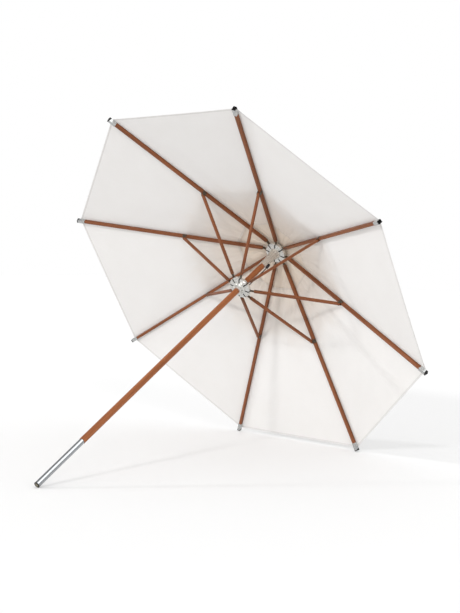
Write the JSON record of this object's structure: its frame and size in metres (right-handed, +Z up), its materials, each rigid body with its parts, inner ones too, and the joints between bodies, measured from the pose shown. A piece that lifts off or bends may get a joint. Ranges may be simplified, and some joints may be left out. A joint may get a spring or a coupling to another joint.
{
  "type": "market umbrella",
  "caption": "Folding market umbrella: octagonal off-white canopy with a vent cap, wooden pole, ribs and struts, metal hubs and a round steel pole foot for a stand.",
  "frame": {"origin": "centre of the pole foot's underside, with the umbrella open and upright", "axes": "+Z up the pole to the finial; +X and +Y each lie half way between two ribs"},
  "size_m": [2.7892, 2.7892, 2.735],
  "materials": {
    "pole_wood": "oiled reddish-brown hardwood, straight grain along the pole",
    "rib_wood": "oiled reddish-brown hardwood, straight grain along each rib and strut",
    "ferrule_steel": "bright drawn stainless tube",
    "fitting_steel": "satin stainless sheet",
    "pin_steel": "turned stainless rod",
    "cast_alloy": "bright tumbled casting with machined faces",
    "foot_cap": "dark moulded cap",
    "black_plastic": "black moulded pulley block",
    "cord": "dark braided cord",
    "canvas": "off-white plain-weave canvas"
  },
  "bodies": {
    "root": {"pole": "pole_wood", "ferrule": "ferrule_steel", "foot_cap": "foot_cap", "top_sleeve": "cast_alloy", "crown": "cast_alloy", "crown_pins": "pin_steel", "pulley_block": "black_plastic", "hoist_cord": "cord", "finial": "pole_wood"},
    "sheave": {"sheave": "pin_steel"},
    "runner": {"runner": "cast_alloy", "runner_pins": "pin_steel"},
    "rib_1": {"rib_1": "rib_wood", "rib_fittings_1": "fitting_steel", "rib_tip_1": "fitting_steel", "canopy_panel_1": "canvas"},
    "strut_1": {"strut_1": "rib_wood", "strut_fittings_1": "fitting_steel"},
    "rib_2": {"rib_2": "rib_wood", "rib_fittings_2": "fitting_steel", "rib_tip_2": "fitting_steel", "canopy_panel_2": "canvas"},
    "strut_2": {"strut_2": "rib_wood", "strut_fittings_2": "fitting_steel"},
    "rib_3": {"rib_3": "rib_wood", "rib_fittings_3": "fitting_steel", "rib_tip_3": "fitting_steel", "canopy_panel_3": "canvas"},
    "strut_3": {"strut_3": "rib_wood", "strut_fittings_3": "fitting_steel"},
    "rib_4": {"rib_4": "rib_wood", "rib_fittings_4": "fitting_steel", "rib_tip_4": "fitting_steel", "canopy_panel_4": "canvas"},
    "strut_4": {"strut_4": "rib_wood", "strut_fittings_4": "fitting_steel"},
    "rib_5": {"rib_5": "rib_wood", "rib_fittings_5": "fitting_steel", "rib_tip_5": "fitting_steel", "canopy_panel_5": "canvas"},
    "strut_5": {"strut_5": "rib_wood", "strut_fittings_5": "fitting_steel"},
    "rib_6": {"rib_6": "rib_wood", "rib_fittings_6": "fitting_steel", "rib_tip_6": "fitting_steel", "canopy_panel_6": "canvas"},
    "strut_6": {"strut_6": "rib_wood", "strut_fittings_6": "fitting_steel"},
    "rib_7": {"rib_7": "rib_wood", "rib_fittings_7": "fitting_steel", "rib_tip_7": "fitting_steel", "canopy_panel_7": "canvas"},
    "strut_7": {"strut_7": "rib_wood", "strut_fittings_7": "fitting_steel"},
    "rib_8": {"rib_8": "rib_wood", "rib_fittings_8": "fitting_steel", "rib_tip_8": "fitting_steel", "canopy_panel_8": "canvas"},
    "strut_8": {"strut_8": "rib_wood", "strut_fittings_8": "fitting_steel"}
  },
  "joints": [
    {"name": "rib_1_fold", "type": "hinge", "parent": "root", "child": "rib_1", "pos_m": [0.06098, 0.02526, 2.627], "axis": [-0.3827, 0.9239, 0], "range_deg": [0, 68], "deforming": ["canopy_panel_1"]},
    {"name": "rib_2_fold", "type": "hinge", "parent": "root", "child": "rib_2", "pos_m": [0.02526, 0.06098, 2.627], "axis": [-0.9239, 0.3827, 0], "range_deg": [0, 68], "deforming": ["canopy_panel_2"]},
    {"name": "rib_3_fold", "type": "hinge", "parent": "root", "child": "rib_3", "pos_m": [-0.02526, 0.06098, 2.627], "axis": [-0.9239, -0.3827, 0], "range_deg": [0, 68], "deforming": ["canopy_panel_3"]},
    {"name": "rib_4_fold", "type": "hinge", "parent": "root", "child": "rib_4", "pos_m": [-0.06098, 0.02526, 2.627], "axis": [-0.3827, -0.9239, 0], "range_deg": [0, 68], "deforming": ["canopy_panel_4"]},
    {"name": "rib_5_fold", "type": "hinge", "parent": "root", "child": "rib_5", "pos_m": [-0.06098, -0.02526, 2.627], "axis": [0.3827, -0.9239, 0], "range_deg": [0, 68], "deforming": ["canopy_panel_5"]},
    {"name": "rib_6_fold", "type": "hinge", "parent": "root", "child": "rib_6", "pos_m": [-0.02526, -0.06098, 2.627], "axis": [0.9239, -0.3827, 0], "range_deg": [0, 68], "deforming": ["canopy_panel_6"]},
    {"name": "rib_7_fold", "type": "hinge", "parent": "root", "child": "rib_7", "pos_m": [0.02526, -0.06098, 2.627], "axis": [0.9239, 0.3827, 0], "range_deg": [0, 68], "deforming": ["canopy_panel_7"]},
    {"name": "rib_8_fold", "type": "hinge", "parent": "root", "child": "rib_8", "pos_m": [0.06098, -0.02526, 2.627], "axis": [0.3827, 0.9239, 0], "range_deg": [0, 68], "deforming": ["canopy_panel_8"]},
    {"name": "strut_1_swing", "type": "hinge", "parent": "rib_1", "child": "strut_1", "pos_m": [0.62564, 0.25915, 2.39147], "axis": [-0.3827, 0.9239, 0], "range_deg": [-136, 0]},
    {"name": "strut_2_swing", "type": "hinge", "parent": "rib_2", "child": "strut_2", "pos_m": [0.25915, 0.62564, 2.39147], "axis": [-0.9239, 0.3827, 0], "range_deg": [-136, 0]},
    {"name": "strut_3_swing", "type": "hinge", "parent": "rib_3", "child": "strut_3", "pos_m": [-0.25915, 0.62564, 2.39147], "axis": [-0.9239, -0.3827, 0], "range_deg": [-136, 0]},
    {"name": "strut_4_swing", "type": "hinge", "parent": "rib_4", "child": "strut_4", "pos_m": [-0.62564, 0.25915, 2.39147], "axis": [-0.3827, -0.9239, 0], "range_deg": [-136, 0]},
    {"name": "strut_5_swing", "type": "hinge", "parent": "rib_5", "child": "strut_5", "pos_m": [-0.62564, -0.25915, 2.39147], "axis": [0.3827, -0.9239, 0], "range_deg": [-136, 0]},
    {"name": "strut_6_swing", "type": "hinge", "parent": "rib_6", "child": "strut_6", "pos_m": [-0.25915, -0.62564, 2.39147], "axis": [0.9239, -0.3827, 0], "range_deg": [-136, 0]},
    {"name": "strut_7_swing", "type": "hinge", "parent": "rib_7", "child": "strut_7", "pos_m": [0.25915, -0.62564, 2.39147], "axis": [0.9239, 0.3827, 0], "range_deg": [-136, 0]},
    {"name": "strut_8_swing", "type": "hinge", "parent": "rib_8", "child": "strut_8", "pos_m": [0.62564, -0.25915, 2.39147], "axis": [0.3827, 0.9239, 0], "range_deg": [-136, 0]},
    {"name": "runner_travel", "type": "hinge", "parent": "strut_1", "child": "runner", "pos_m": [0.06098, 0.02526, 2.15594], "axis": [-0.3827, 0.9239, 0], "range_deg": [0, 68]},
    {"name": "sheave_spin", "type": "hinge", "parent": "root", "child": "sheave", "pos_m": [0.02404, 0.02404, 2.472], "axis": [0.7071, 0.7071, 0], "continuous": true}
  ],
  "couplings": [
    {"joint": "rib_2_fold", "follows": "rib_1_fold", "ratio": 1},
    {"joint": "rib_3_fold", "follows": "rib_1_fold", "ratio": 1},
    {"joint": "rib_4_fold", "follows": "rib_1_fold", "ratio": 1},
    {"joint": "rib_5_fold", "follows": "rib_1_fold", "ratio": 1},
    {"joint": "rib_6_fold", "follows": "rib_1_fold", "ratio": 1},
    {"joint": "rib_7_fold", "follows": "rib_1_fold", "ratio": 1},
    {"joint": "rib_8_fold", "follows": "rib_1_fold", "ratio": 1},
    {"joint": "strut_1_swing", "follows": "rib_1_fold", "ratio": -2},
    {"joint": "strut_2_swing", "follows": "rib_1_fold", "ratio": -2},
    {"joint": "strut_3_swing", "follows": "rib_1_fold", "ratio": -2},
    {"joint": "strut_4_swing", "follows": "rib_1_fold", "ratio": -2},
    {"joint": "strut_5_swing", "follows": "rib_1_fold", "ratio": -2},
    {"joint": "strut_6_swing", "follows": "rib_1_fold", "ratio": -2},
    {"joint": "strut_7_swing", "follows": "rib_1_fold", "ratio": -2},
    {"joint": "strut_8_swing", "follows": "rib_1_fold", "ratio": -2},
    {"joint": "runner_travel", "follows": "rib_1_fold", "ratio": 1}
  ]
}
